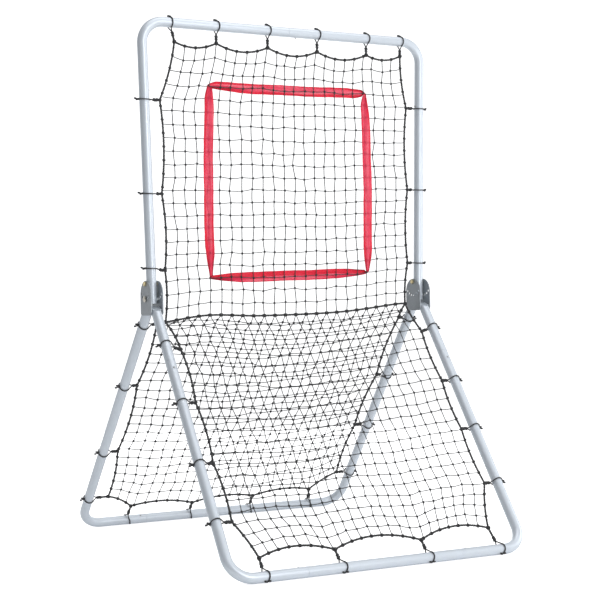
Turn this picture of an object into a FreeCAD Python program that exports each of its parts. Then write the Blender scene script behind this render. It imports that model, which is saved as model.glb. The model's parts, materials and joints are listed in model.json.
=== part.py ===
import FreeCAD, Part
import math
import os
import Sketcher

# Pitching target net: three U-shaped tube frames joined at two side hinges.
# The front and rear U's stand on the ground as an A and the upper U carries
# the target net.  Each hinge has two steel plates, the left-hand one welded to
# the rear legs and the right-hand one to the front legs, with the upper tube
# between them on a pivot bolt.
# Model frame: X right, Y back, Z up, millimetres, origin on the ground under
# the middle of the footprint.  Each U is built in its own flat frame first:
# x across, y from the bar towards the hinge, z square to the U.

os.makedirs("parts", exist_ok=True)
doc = FreeCAD.newDocument("PitchingTargetNet")
V = FreeCAD.Vector

# ------------------------------------------------------------ dimensions
DIMENSIONS = {
    # tube and its plugged joints
    "tube_od": 32.0, "tube_bore": 29.6, "bend_radius": 70.0,
    "spigot_od": 29.2, "spigot_bore": 26.8, "spigot_len": 45.0, "seam": 0.6,
    # half widths between tube centre lines
    "hinge_half": 495.0, "top_half": 516.0,
    "front_half": 501.0, "rear_half": 522.0,
    # heights and leg angles
    "top_height": 1680.0, "pivot_height": 852.0, "cross_height": 812.0,
    "front_lean": 35.9, "rear_lean": 38.8,
    "upright_foot": 790.0, "leg_end": 47.0, "leg_cut_slope": 16.0,
    # where the tubes plug together, measured from the bar along the frame
    "top_joint": 249.0, "front_joint": 734.0, "rear_joint": 902.0,
    "front_bar_half": 266.0, "rear_bar_half": 279.0,
    # hinge plates, bolts, lock pins and snap buttons
    "plate_gap": 18.0, "plate_thick": 3.0, "plate_half": 44.0,
    "plate_top": 862.0, "plate_foot": 753.0, "plate_corner": 12.0,
    "lock_radius": 48.0, "lock_step": 16.0, "hole_dia": 8.5,
    "bolt_dia": 8.4, "head_flats": 13.0, "head_tall": 5.3, "nut_tall": 6.5,
    "thread_end": 2.0, "pin_head": 19.0, "pin_head_tall": 6.0,
    "button_dia": 7.0, "button_hole": 7.6, "button_inset": 30.0,
    "bar_button_inset": 21.0,
    # nets, ropes, ties and the strike zone
    "net_thick": 2.0, "rope_dia": 7.0, "tie_dia": 3.5, "slack": 0.3,
    "waist_height": 747.0, "net_half": 452.0, "top_gap": 65.0,
    "foot_gap": 63.0, "rope_corner": 28.0, "upper_net_foot": 772.0,
    "zone_half": 296.0, "zone_low": 866.0, "zone_high": 1488.0,
    "strip_width": 36.0, "strip_thick": 1.2,
}
dims = doc.addObject("Spreadsheet::Sheet", "Dims")
for row, (alias, number) in enumerate(DIMENSIONS.items(), start=1):
    dims.set("A%d" % row, alias)
    dims.set("B%d" % row, str(number))
    dims.setAlias("B%d" % row, alias)
doc.recompute()


class Size:
    """A size that carries its spreadsheet expression and its number."""

    def __init__(self, text, number):
        self.text, self.number = text, number

    def _join(self, sign, other, number):
        return Size("(%s%s%s)" % (self.text, sign, size(other).text), number)

    def __add__(self, other):
        return self._join("+", other, self.number + size(other).number)

    def __sub__(self, other):
        return self._join("-", other, self.number - size(other).number)

    def __mul__(self, other):
        return self._join("*", other, self.number * size(other).number)

    def __truediv__(self, other):
        return self._join("/", other, self.number / size(other).number)

    def __rsub__(self, other):
        return size(other) - self

    def __neg__(self):
        return size(0) - self

    __radd__, __rmul__ = __add__, __mul__


def size(thing):
    """A plain number as a Size; a Size as it is."""
    if isinstance(thing, Size):
        return thing
    return Size("(%r)" % float(thing), float(thing))


def sin(a):
    return Size("sin(%s)" % a.text, math.sin(math.radians(a.number)))


def cos(a):
    return Size("cos(%s)" % a.text, math.cos(math.radians(a.number)))


def tan(a):
    return Size("tan(%s)" % a.text, math.tan(math.radians(a.number)))


def atan(a):
    """Angle in degrees, as a plain number."""
    return Size("(atan(%s)/1deg)" % a.text, math.degrees(math.atan(a.number)))


d = type("Dimensions", (), {k: Size("Dims." + k, v) for k, v in DIMENSIONS.items()})

RADIUS = d.tube_od / 2
LEG_DROP = d.cross_height - RADIUS
FRONT_FOOT, REAR_FOOT = LEG_DROP * tan(d.front_lean), LEG_DROP * tan(d.rear_lean)
FRONT_LEN, REAR_LEN = LEG_DROP / cos(d.front_lean), LEG_DROP / cos(d.rear_lean)
HINGE_Y = (FRONT_FOOT - REAR_FOOT) / 2


# ------------------------------------------------------------ placements
def place(x=0, y=0, z=0, axis=(0, 0, 1), angle=0):
    """Placement expression: a point in millimetres and a turn in degrees."""
    return "placement(vector(%s;%s;%s);rotation(vector(%s;%s;%s);%s))" % (
        size(x).text, size(y).text, size(z).text, *axis, size(angle).text)


def put(obj, *steps):
    """Bind an object's placement to the product of placement expressions."""
    obj.setExpression("Placement", "*".join(steps))
    return obj


X_AXIS, Y_AXIS, Z_AXIS = (1, 0, 0), (0, 1, 0), (0, 0, 1)
ALONG_X = place(axis=Y_AXIS, angle=90)        # turns a +Z axis to +X
ALONG_Y = place(axis=X_AXIS, angle=-90)       # turns a +Z axis to +Y


class Frame:
    """One U: its flat frame, its widths and where its tubes join."""

    def __init__(self, name, origin, half, ref, joint):
        self.name, self.origin, self.half = name, origin, half
        self.joint = joint
        self.splay = atan((half - d.hinge_half) / ref)

    def leg_x(self, y):
        """Half width of the U at a distance y from its bar."""
        return self.half - tan(self.splay) * y


UPPER = Frame("upper", place(0, HINGE_Y, d.top_height, X_AXIS, -90),
              d.top_half, d.top_height - 826, d.top_joint)
FRONT = Frame("front", place(0, HINGE_Y - FRONT_FOOT, RADIUS, X_AXIS, 90 - d.front_lean),
              d.front_half, FRONT_LEN - 60, d.front_joint)
REAR = Frame("rear", place(0, HINGE_Y + REAR_FOOT, RADIUS, X_AXIS, 90 + d.rear_lean),
             d.rear_half, REAR_LEN - 60, d.rear_joint)
SIDES = (("left", -1), ("right", 1))


# ------------------------------------------------------------ small makers
def bind(obj, **sizes):
    for prop, s in sizes.items():
        obj.setExpression(prop, size(s).text)
    return obj


def cylinder(name, radius, height, *steps):
    obj = bind(doc.addObject("Part::Cylinder", name), Radius=radius, Height=height)
    return put(obj, *steps)


def box(name, length, width, height, *steps):
    obj = doc.addObject("Part::Box", name)
    return put(bind(obj, Length=length, Width=width, Height=height), *steps)


def prism(name, flats, height, *steps):
    """Hexagonal prism, sized across its flats."""
    obj = doc.addObject("Part::Prism", name)
    obj.Polygon = 6
    return put(bind(obj, Circumradius=flats / (2 * cos(size(30))), Height=height), *steps)


def fuse(name, *shapes):
    obj = doc.addObject("Part::MultiFuse", name)
    obj.Shapes = list(shapes)
    obj.Refine = True
    return obj


def cut(name, base, *tools):
    obj = doc.addObject("Part::Cut", name)
    obj.Base = base
    obj.Tool = tools[0] if len(tools) == 1 else fuse(name + "_tools", *tools)
    return obj


def group(name, solids):
    """Several separate solids that share one node."""
    obj = doc.addObject("Part::Compound", name)
    obj.Links = list(solids)
    return obj


def sketch_on(body, name, plane, offset=None):
    """Sketch on one of the body's own origin planes, moved along its normal."""
    sketch = body.newObject("Sketcher::SketchObject", name)
    support = [o for o in body.Origin.OriginFeatures if o.Role == plane][0]
    sketch.AttachmentSupport = [(support, "")]
    sketch.MapMode = "FlatFace"
    if offset is not None:
        sketch.setExpression("AttachmentOffset.Base.z", size(offset).text)
    return sketch


def hold(sketch, kind, refs, s):
    """Add one driving constraint bound to a size."""
    number = math.radians(s.number) if kind == "Angle" else s.number
    index = sketch.addConstraint(Sketcher.Constraint(kind, *refs, number))
    text = s.text + "*1deg" if kind == "Angle" else s.text
    sketch.setExpression("Constraints[%d]" % index, text)


def hold_point(sketch, geo, end, x, y):
    hold(sketch, "DistanceX", (-1, 1, geo, end), size(x))
    hold(sketch, "DistanceY", (-1, 1, geo, end), size(y))


def polygon(sketch, corners):
    """Closed outline with every corner held by two sizes."""
    points = [V(size(x).number, size(y).number, 0) for x, y in corners]
    count = len(points)
    for i in range(count):
        sketch.addGeometry(Part.LineSegment(points[i], points[(i + 1) % count]), False)
    for i in range(count):
        sketch.addConstraint(Sketcher.Constraint("Coincident", i, 2, (i + 1) % count, 1))
        hold_point(sketch, i, 1, *corners[i])


def turned(name, corners):
    """Body turned about its Y axis from (radius, height) corners."""
    body = doc.addObject("PartDesign::Body", name)
    sketch = sketch_on(body, name + "_profile", "XY_Plane")
    polygon(sketch, corners)
    turn = body.newObject("PartDesign::Revolution", name + "_turn")
    turn.Profile = sketch
    turn.ReferenceAxis = (sketch, ["V_Axis"])
    turn.Angle = 360.0
    body.Tip = turn
    return body


def bent_line(sketch, corners, radius, headings):
    """Open route of straight runs joined by tangent arcs.

    corners are the sharp corners and both ends; headings are the runs'
    directions, each "Horizontal", "Vertical" or a Size in degrees.
    """
    pts = [V(size(x).number, size(y).number, 0) for x, y in corners]
    ends = [[p, p] for p in pts]
    arcs = []
    for i in range(1, len(pts) - 1):
        into = (pts[i - 1] - pts[i]).normalize()
        out = (pts[i + 1] - pts[i]).normalize()
        half = math.acos(into.dot(out)) / 2
        reach = size(radius).number / math.tan(half)
        ends[i] = [pts[i] + into * reach, pts[i] + out * reach]
        bisector = (into + out).normalize()
        middle = pts[i] + bisector * (size(radius).number * (1 / math.sin(half) - 1))
        # a sketch keeps its arcs anticlockwise, so a right-hand bend is drawn backwards
        left_hand = out.cross(into).z > 0
        first, last = ends[i] if left_hand else ends[i][::-1]
        arcs.append((Part.Arc(first, middle, last), 1 if left_hand else 2))
    for i in range(len(pts) - 1):
        sketch.addGeometry(Part.LineSegment(ends[i][1], ends[i + 1][0]), False)
        if i < len(arcs):
            sketch.addGeometry(arcs[i][0], False)
    for i, heading in enumerate(headings):
        if isinstance(heading, Size):
            hold(sketch, "Angle", (2 * i,), heading)
        else:
            sketch.addConstraint(Sketcher.Constraint(heading, 2 * i))
    for i, (_, first) in enumerate(arcs):
        sketch.addConstraint(Sketcher.Constraint("Tangent", 2 * i, 2, 2 * i + 1, first))
        sketch.addConstraint(
            Sketcher.Constraint("Tangent", 2 * i + 1, 3 - first, 2 * i + 2, 1))
        hold(sketch, "Radius", (2 * i + 1,), size(radius))
    hold_point(sketch, 0, 1, *corners[0])
    hold_point(sketch, 2 * len(arcs), 2, *corners[-1])


def ring(sketch, outer, inner=None):
    """One circle, or two for a hollow section, round the sketch's origin."""
    for i, r in enumerate(s for s in (outer, inner) if s is not None):
        sketch.addGeometry(Part.Circle(V(0, 0, 0), V(0, 0, 1), size(r).number), False)
        sketch.addConstraint(Sketcher.Constraint("Coincident", i, 3, -1, 1))
        hold(sketch, "Radius", (i,), size(r))


def swept(body, section, route):
    pipe = body.newObject("PartDesign::AdditivePipe", body.Name + "_sweep")
    pipe.Profile = section
    pipe.Spine = (route, [])
    pipe.Transition = "Transformed"
    body.Tip = pipe
    return body


# ------------------------------------------------------------ tubes
def button_hole(name, frame, x, y, turn):
    """Cylinder from the tube's axis out through its wall."""
    return cylinder(name, d.button_hole / 2, d.tube_od * 0.8,
                    frame.origin, place(x, y), turn)


def leg_turn(frame, side):
    """Which way a leg's snap button faces."""
    return {"upper": place(axis=Y_AXIS, angle=-90 * side),
            "front": place(), "rear": place(axis=X_AXIS, angle=180)}[frame.name]


def corner_tube(label, frame, side, bar_start, spigot=False):
    """Tube bent once: an arm of the bar, a wide bend and an arm of the leg."""
    body = doc.addObject("PartDesign::Body", label + "_tube")
    route = sketch_on(body, label + "_route", "XY_Plane")
    leg_end = frame.joint
    corners = [(bar_start * side, 0), (frame.half * side, 0),
               (frame.leg_x(leg_end) * side, leg_end)]
    bent_line(route, corners, d.bend_radius, ["Horizontal", 90 + frame.splay * side])
    section = sketch_on(body, label + "_section", "YZ_Plane", bar_start)
    section.MapReversed = side < 0
    ring(section, RADIUS, d.tube_bore / 2)
    swept(body, section, route)
    if spigot:
        sleeve = sketch_on(body, label + "_spigot_profile", "XY_Plane")
        polygon(sleeve, [(-8 * side * size(-1), d.spigot_bore / 2),
                         (-8 * side * size(-1), RADIUS - 0.5),
                         (0, RADIUS - 0.5), (0, d.spigot_od / 2),
                         (-d.spigot_len * side, d.spigot_od / 2),
                         (-d.spigot_len * side, d.spigot_bore / 2)])
        plug = body.newObject("PartDesign::Revolution", label + "_spigot")
        plug.Profile = sleeve
        plug.ReferenceAxis = (sleeve, ["H_Axis"])
        plug.Angle = 360.0
        body.Tip = plug
    put(body, frame.origin)
    low = leg_end - d.button_inset
    holes = [button_hole(label + "_leg_hole", frame, frame.leg_x(low) * side, low,
                         leg_turn(frame, side))]
    near = bar_start + d.bar_button_inset
    if frame is UPPER:
        near = d.button_inset
    if frame is not UPPER or not spigot:
        holes.append(button_hole(label + "_bar_hole", frame, near * side, 0, ALONG_Y))
    if spigot:
        holes.append(button_hole(label + "_plug_hole", frame,
                                 -d.button_inset * side, 0, ALONG_Y))
    return cut(label, body, *holes)


def plug_corners(shoulder, direction):
    """Profile of a swaged end, from inside the tube to outside it."""
    tip = shoulder + d.spigot_len * direction
    return [(d.tube_bore / 2, shoulder - 8 * direction),
            (d.spigot_bore / 2, shoulder - 2 * direction),
            (d.spigot_bore / 2, tip), (d.spigot_od / 2, tip),
            (d.spigot_od / 2, shoulder), (RADIUS, shoulder)]


def leg_tube(label, frame, side, far_end, *tools):
    """Straight leg tube, plugged into the corner tube at its low end."""
    joint = frame.joint + d.seam
    length = (far_end - joint) / cos(frame.splay)
    body = turned(label + "_tube", plug_corners(size(0), -1)
                  + [(RADIUS, length), (d.tube_bore / 2, length)])
    put(body, frame.origin, place(frame.leg_x(joint) * side, joint, 0, Z_AXIS,
                                  frame.splay * side))
    low = frame.joint - d.button_inset
    hole = button_hole(label + "_button_hole", frame, frame.leg_x(low) * side, low,
                       leg_turn(frame, side))
    return cut(label, body, hole, *tools)


def bar_tube(label, frame, half):
    """Straight ground bar with a swaged plug at each end."""
    half = half - d.seam
    body = turned(label + "_tube",
                  plug_corners(half, 1) + plug_corners(-half, -1)[::-1])
    put(body, frame.origin, place(axis=Z_AXIS, angle=-90))
    holes = [button_hole("%s_%s_hole" % (label, name), frame,
                         (half + d.seam + d.bar_button_inset) * side, 0, ALONG_Y)
             for name, side in SIDES]
    return cut(label, body, *holes)


def cross_hole(name, z, side, dia):
    """Cylinder across a whole hinge, along X."""
    return cylinder(name, dia / 2, 60, place(d.hinge_half * side - 30, HINGE_Y, z),
                    ALONG_X)


def leg_mitre(name, side, front):
    """Block that cuts a leg's top end to a slope, clear of the upper tube."""
    lean, sign = (d.front_lean, -1) if front else (d.rear_lean, 1)
    return box(name, 80, 160, 90,
               place(d.hinge_half * side - 40, HINGE_Y + sign * d.leg_end * sin(lean),
                     d.cross_height - d.leg_end * cos(lean), X_AXIS,
                     -sign * d.leg_cut_slope), place(0, -80))


# ------------------------------------------------------------ hinge hardware
def hinge_plate(label, side, face):
    """Round-topped plate with the pivot hole and an arc of seven lock holes."""
    left = d.hinge_half * side + (d.plate_gap if face > 0
                                  else -(d.plate_gap + d.plate_thick))
    t = d.plate_thick
    shoulder = d.plate_top - d.plate_half
    knee = d.plate_foot + d.plate_corner
    inner = d.plate_half - d.plate_corner
    pieces = [
        cylinder(label + "_crown", d.plate_half, t, place(left, HINGE_Y, shoulder),
                 ALONG_X),
        box(label + "_web", t, 2 * d.plate_half, shoulder - knee,
            place(left, HINGE_Y - d.plate_half, knee)),
        box(label + "_toe", t, 2 * inner, d.plate_corner + 1,
            place(left, HINGE_Y - inner, d.plate_foot))]
    for i, sign in enumerate((-1, 1)):
        pieces.append(cylinder("%s_corner_%d" % (label, i), d.plate_corner, t,
                               place(left, HINGE_Y + inner * sign, knee), ALONG_X))
    holes = [cross_hole(label + "_pivot_hole", d.pivot_height, side, d.hole_dia)]
    for step in range(-3, 4):
        turn = d.lock_step * step
        holes.append(cylinder("%s_lock_hole_%d" % (label, step + 3), d.hole_dia / 2, 60,
                              place(d.hinge_half * side - 30,
                                    HINGE_Y + d.lock_radius * sin(turn),
                                    d.pivot_height - d.lock_radius * cos(turn)),
                              ALONG_X))
    return cut(label, fuse(label + "_blank", *pieces), *holes)


def pivot_bolt(label, side):
    """Hexagon bolt through both plates and the upper tube."""
    outer = d.plate_gap + d.plate_thick + d.slack
    start = d.hinge_half * side - outer
    at = place(start, HINGE_Y, d.pivot_height)
    head = prism(label + "_head", d.head_flats, d.head_tall,
                 place(start - d.head_tall, HINGE_Y, d.pivot_height), ALONG_X)
    shank = cylinder(label + "_shank", d.bolt_dia / 2,
                     2 * outer + d.nut_tall + d.thread_end, at, ALONG_X)
    return fuse(label, head, shank)


def pivot_nut(label, side):
    start = d.hinge_half * side + d.plate_gap + d.plate_thick + d.slack
    at = place(start, HINGE_Y, d.pivot_height)
    return cut(label, prism(label + "_hexagon", d.head_flats, d.nut_tall, at, ALONG_X),
               cylinder(label + "_thread", d.hole_dia / 2, 60, at, ALONG_X))


def lock_pin(label, side):
    """Headed pin in the middle lock hole of the outer plate."""
    reach = d.plate_thick + 2 * d.slack
    head = d.pin_head / 2
    rim = d.pin_head_tall
    body = turned(label, [(0, -reach), (d.bolt_dia / 2, -reach),
                          (d.bolt_dia / 2, 0), (head - 3, 0), (head, 1.5),
                          (head, rim - 1.5), (head - 2, rim), (0, rim)])
    outer = d.hinge_half + d.plate_gap + d.plate_thick + d.slack
    return put(body, place(outer * side, HINGE_Y, d.pivot_height - d.lock_radius,
                           Z_AXIS, -90 * side))


def snap_button(name, frame, x, y, turn):
    """Domed spring button, from inside the plug to proud of the tube."""
    r = d.button_dia / 2
    steps = (frame.origin, place(x, y), turn)
    stem = cylinder(name + "_stem", r, RADIUS * 0.5, *steps, place(0, 0, RADIUS * 0.5))
    dome = put(bind(doc.addObject("Part::Sphere", name + "_dome"), Radius=r),
               *steps, place(0, 0, RADIUS))
    return fuse(name, stem, dome)


def snap_buttons(label, frame, bar_ends):
    """All the buttons of one U: one on each leg and one at each bar joint."""
    buttons = []
    low = frame.joint - d.button_inset
    for name, side in SIDES:
        buttons.append(snap_button("%s_leg_%s" % (label, name), frame,
                                   frame.leg_x(low) * side, low, leg_turn(frame, side)))
    for i, x in enumerate(bar_ends):
        buttons.append(snap_button("%s_bar_%d" % (label, i), frame, x, 0, ALONG_Y))
    return group(label, buttons)


# ------------------------------------------------------------ nets and ropes
NET_LIFT = d.foot_gap


def net_frame(foot, lean, sign):
    """Flat frame of a lower net and its length up to the waist rope."""
    run = foot - NET_LIFT * sin(lean)
    low = RADIUS + NET_LIFT * cos(lean)
    tilt = atan(run / (d.waist_height - low))
    length = run / sin(tilt)
    return place(0, HINGE_Y + run * sign, low, X_AXIS, 90 + tilt * sign), length


def net_panel(label, origin, low, high):
    """Soft panel of knotted mesh, as the slab that its twine fills.

    Its two corners at the bar are cut off inside the border rope's bends.
    """
    body = doc.addObject("PartDesign::Body", label)
    outline = sketch_on(body, label + "_outline", "XY_Plane")
    half, bevel = d.net_half - d.rope_dia / 2 - 1, d.rope_corner - d.rope_dia / 2 - 1
    polygon(outline, [(-half, high), (-half, low + bevel), (bevel - half, low),
                      (half - bevel, low), (half, low + bevel), (half, high)])
    pad = body.newObject("PartDesign::Pad", label + "_slab")
    pad.Profile = outline
    pad.Midplane = True
    pad.setExpression("Length", d.net_thick.text)
    body.Tip = pad
    return put(body, origin)


def border_rope(label, origin, end):
    """Rope round three sides of a net: down, across and back."""
    body = doc.addObject("PartDesign::Body", label)
    route = sketch_on(body, label + "_route", "XY_Plane")
    w = d.net_half
    bent_line(route, [(-w, end), (-w, 0), (w, 0), (w, end)], d.rope_corner,
              ["Vertical", "Horizontal", "Vertical"])
    hold(route, "DistanceY", (-1, 1, 2, 1), size(0))
    section = sketch_on(body, label + "_section", "XZ_Plane", -end)
    section.setExpression("AttachmentOffset.Base.x", (-w).text)
    ring(section, d.rope_dia / 2)
    swept(body, section, route)
    return put(body, origin)


def strip(label, x, y, length, width, behind):
    """Flat band of strike-zone fabric, in front of the mesh or behind it."""
    off = d.net_thick / 2 + d.slack
    return box(label, length, width, d.strip_thick, UPPER.origin,
               place(x, y, off if behind else -off - d.strip_thick))


def tie_ring(name, *steps, gap=0, spin=0):
    """Cord looped round a tube; a gap leaves it open where a bar rests.

    spin turns the loop's seam away from the link.
    """
    torus = doc.addObject("Part::Torus", name)
    bind(torus, Radius1=RADIUS + d.slack + d.tie_dia / 2, Radius2=d.tie_dia / 2,
         Angle3=360 - 2 * size(gap))
    return put(torus, *steps, place(axis=Z_AXIS, angle=gap or spin))


def leg_tie(name, frame, side, y):
    """Loop round a leg and its link to the border rope."""
    x = frame.leg_x(size(y)) * side
    loop = tie_ring(name + "_loop", frame.origin, place(x, y), ALONG_Y, spin=90)
    reach = frame.leg_x(size(y)) - RADIUS - 1.5 - d.net_half - d.rope_dia / 2 - d.slack
    link = cylinder(name + "_link", d.tie_dia / 2, reach, frame.origin,
                    place((frame.leg_x(size(y)) - RADIUS - 1.5) * side, y),
                    place(axis=Y_AXIS, angle=-90 * side))
    return fuse(name, loop, link)


def bar_tie(name, frame, x, reach, gap=0):
    """Loop round a bar, open underneath where it stands, and its link."""
    if gap:
        foot = (HINGE_Y - FRONT_FOOT) if frame is FRONT else (HINGE_Y + REAR_FOOT)
        centre = (place(x, foot, RADIUS), ALONG_X)
    else:
        centre = (frame.origin, place(x), ALONG_X)
    loop = tie_ring(name + "_loop", *centre, gap=gap)
    link = cylinder(name + "_link", d.tie_dia / 2,
                    reach - RADIUS - 1.5 - d.rope_dia / 2 - d.slack,
                    frame.origin, place(x, RADIUS + 1.5), ALONG_Y)
    return fuse(name, loop, link)


def ties(label, frame, left, right, bar, reach, gap=0):
    """Every tie of one net: along both legs and along the bar."""
    made = []
    for (name, side), heights in zip(SIDES, (left, right)):
        for i, y in enumerate(heights):
            made.append(leg_tie("%s_%s_%d" % (label, name, i), frame, side, y))
    for i, x in enumerate(bar):
        made.append(bar_tie("%s_bar_%d" % (label, i), frame, x, reach, gap))
    return group(label, made)


# ------------------------------------------------------------ the assembly
nodes = []

# Upper frame: two bent tubes that meet in the middle of the top, two uprights.
nodes.append(corner_tube("top_corner_tube_left", UPPER, -1, size(0), spigot=True))
nodes.append(corner_tube("top_corner_tube_right", UPPER, 1, d.seam))
for name, side in SIDES:
    tools = [cross_hole("upright_%s_%s" % (name, what), z, side, d.hole_dia)
             for what, z in (("pivot_hole", d.pivot_height),
                             ("lock_hole", d.pivot_height - d.lock_radius))]
    nodes.append(leg_tube("upright_tube_" + name, UPPER, side,
                          d.top_height - d.upright_foot, *tools))
nodes.append(snap_buttons("upper_snap_buttons", UPPER, [d.button_inset]))

# Front and rear leg frames: ground bar, two bent tubes, two hinge stubs.
for frame, length, bar_half in ((FRONT, FRONT_LEN, d.front_bar_half),
                                (REAR, REAR_LEN, d.rear_bar_half)):
    part = frame.name
    nodes.append(bar_tube(part + "_foot_bar", frame, bar_half))
    for name, side in SIDES:
        nodes.append(corner_tube("%s_corner_tube_%s" % (part, name), frame, side,
                                 bar_half))
        mitre = leg_mitre("%s_mitre_%s" % (part, name), side, frame is FRONT)
        nodes.append(leg_tube("%s_hinge_stub_%s" % (part, name), frame, side,
                              length, mitre))
        nodes.append(hinge_plate("%s_hinge_plate_%s" % (part, name), side,
                                 1 if frame is FRONT else -1))
    ends = [(bar_half + d.bar_button_inset) * side for _, side in SIDES]
    nodes.append(snap_buttons(part + "_snap_buttons", frame, ends))

# Hinge fasteners.
for name, side in SIDES:
    nodes.append(pivot_bolt("pivot_bolt_" + name, side))
    nodes.append(lock_pin("lock_pin_" + name, side))
nodes.append(group("pivot_nuts", [pivot_nut("pivot_nut_" + n, s) for n, s in SIDES]))

# Each net hangs in its own flat frame, with y from its border rope's bar side.
ROPE_GAP = d.rope_dia / 2 + 1
UPPER_NET = UPPER.origin + "*" + place(0, d.top_gap)
UPPER_NET_LEN = d.top_height - d.top_gap - d.upper_net_foot
nodes.append(net_panel("upper_net", UPPER_NET, ROPE_GAP, UPPER_NET_LEN))
nodes.append(border_rope("upper_net_border_rope", UPPER_NET, UPPER_NET_LEN))
nodes.append(ties("upper_net_ties", UPPER, (248, 546, 779), (228, 510, 763),
                  (-413, -259, -74, 111, 301, 436), d.top_gap))
for frame, foot, lean, sign, left, right, bar in (
        (FRONT, FRONT_FOOT, d.front_lean, -1, (180, 374, 585, 805),
         (230, 433, 621, 834), (-399, -152, 146, 390)),
        (REAR, REAR_FOOT, d.rear_lean, 1, (128, 349, 648, 908),
         (159, 403, 649, 914), (-346, -110, 133, 385))):
    part = frame.name
    origin, length = net_frame(foot, lean, sign)
    end = length - d.rope_dia - 1
    nodes.append(net_panel(part + "_net", origin, ROPE_GAP, end))
    nodes.append(border_rope(part + "_net_border_rope", origin, end))
    nodes.append(ties(part + "_net_ties", frame, left, right, bar, d.foot_gap, gap=40))
nodes.append(cylinder("waist_rope", d.rope_dia / 2, 2 * d.net_half + 6,
                      place(-d.net_half - 3, HINGE_Y, d.waist_height), ALONG_X))

# Strike zone: four bands of red fabric, the upright two in front of the mesh and
# the level two behind it.
low, high = d.top_height - d.zone_high, d.top_height - d.zone_low
half = d.strip_width / 2
for name, side in SIDES:
    nodes.append(strip("strike_strip_" + name, d.zone_half * side - half,
                       low + half + 1, d.strip_width, high - low - d.strip_width - 2,
                       behind=False))
for name, y in (("top", low), ("bottom", high)):
    nodes.append(strip("strike_strip_" + name, -d.zone_half + half + 1, y - half,
                       2 * d.zone_half - d.strip_width - 2, d.strip_width, behind=True))

# ------------------------------------------------------------ check and export
doc.recompute()
for obj in doc.Objects:
    bad = [s for s in obj.State if s in ("Invalid", "Error")]
    if bad:
        raise RuntimeError("%s is %s" % (obj.Name, bad))
for node in nodes:
    shape = node.Shape
    if shape.isNull() or not shape.isValid() or not shape.Solids:
        raise RuntimeError("bad shape in " + node.Name)
    node.Label = node.Name
    shape.exportStep("parts/%s.step" % node.Name)
    b = shape.BoundBox
    print("%-26s %2d solids %9.0f mm3  x %7.1f %7.1f  y %7.1f %7.1f  z %7.1f %7.1f" % (
        node.Name, len(shape.Solids), shape.Volume, b.XMin, b.XMax, b.YMin, b.YMax,
        b.ZMin, b.ZMax))
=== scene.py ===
import json
import math

import bpy
import numpy as np
from mathutils import Matrix, Vector


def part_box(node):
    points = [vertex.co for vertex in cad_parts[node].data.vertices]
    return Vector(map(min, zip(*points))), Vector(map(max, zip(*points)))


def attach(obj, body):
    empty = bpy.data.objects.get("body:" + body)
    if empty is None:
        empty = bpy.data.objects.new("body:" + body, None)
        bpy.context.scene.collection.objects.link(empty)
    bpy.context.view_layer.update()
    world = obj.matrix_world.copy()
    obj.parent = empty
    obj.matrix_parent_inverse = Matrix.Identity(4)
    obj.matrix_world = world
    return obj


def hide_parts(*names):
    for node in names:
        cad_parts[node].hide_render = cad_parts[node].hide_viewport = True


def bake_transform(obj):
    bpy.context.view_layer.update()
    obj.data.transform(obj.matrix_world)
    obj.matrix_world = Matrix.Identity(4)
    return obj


# Pitching target net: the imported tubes, plates and fasteners get their paint and
# metal here, and the soft goods are built as what they are: knotted twine nets on
# laid rope, cord ties with their knots and tails, and gathered red tape.

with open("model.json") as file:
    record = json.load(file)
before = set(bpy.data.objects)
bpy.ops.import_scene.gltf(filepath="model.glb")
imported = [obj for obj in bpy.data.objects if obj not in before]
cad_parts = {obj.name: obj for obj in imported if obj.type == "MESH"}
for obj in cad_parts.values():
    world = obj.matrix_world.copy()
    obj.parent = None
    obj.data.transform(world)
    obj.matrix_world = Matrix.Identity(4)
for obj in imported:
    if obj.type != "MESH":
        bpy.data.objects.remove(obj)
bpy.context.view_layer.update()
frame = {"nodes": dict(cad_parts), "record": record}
rng = np.random.default_rng(21)


# ------------------------------------------------------------ sizes from the frame
def middle(node):
    """Middle of a CAD node's box."""
    lo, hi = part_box(node)
    return np.array((lo + hi) / 2)


def unit(v):
    """The same direction, one metre long."""
    return v / np.linalg.norm(v)


def smooth(t):
    """Eases a share from 0 to 1 in and out."""
    return t * t * (3 - 2 * t)


ACROSS = np.array((1.0, 0.0, 0.0))
UP = np.array((0.0, 0.0, 1.0))
TUBE_R = (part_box("front_foot_bar")[1].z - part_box("front_foot_bar")[0].z) / 2
HINGE_Y, PIVOT_Z = middle("pivot_bolt_left")[1:]
WAIST_Z = middle("waist_rope")[2]
HINGE_HALF = -(middle("front_hinge_plate_left") + middle("rear_hinge_plate_left"))[0] / 2
CROSS_Z = PIVOT_Z - 0.040            # the legs' centre lines meet here, under the pivot
TOP_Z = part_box("top_corner_tube_left")[1].z - TUBE_R

TWINE_R, ROPE_R, CORD_R = 0.00140, 0.0035, 0.0020
COLUMNS = 23                         # meshes across every net
STRIP_WIDTH = 0.034                  # of the red tape as seen, its hems folded behind
ZONE_COLUMNS, ZONE_ROWS = (4, COLUMNS - 4), (3, 18)    # knots that the strike zone is tied to
HITCH_R = ROPE_R + 0.6 * TWINE_R     # twine's centre line round a rope


class Frame:
    """One U of tube: its bar, its legs and the body it belongs to."""

    def __init__(self, name, bar, top, bar_half, straight, outward):
        self.name, self.bar = name, np.array(bar)
        top = np.array(top)
        self.along = unit(top - self.bar)
        self.half = bar_half
        self.splay = (bar_half - HINGE_HALF) / (np.linalg.norm(top - self.bar) - straight)
        face = np.cross(ACROSS, self.along)
        self.face = face if face @ np.array(outward) > 0 else -face

    def at(self, x, s, lift=0.0):
        """Point x across, s from the bar along the frame, lift out of its plane."""
        return self.bar + ACROSS * x + self.along * s + self.face * lift

    def leg(self, side, s):
        """Point on the centre line of the left (-1) or right (1) leg, s from the bar."""
        return self.at(side * (self.half - self.splay * s), s)


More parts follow.
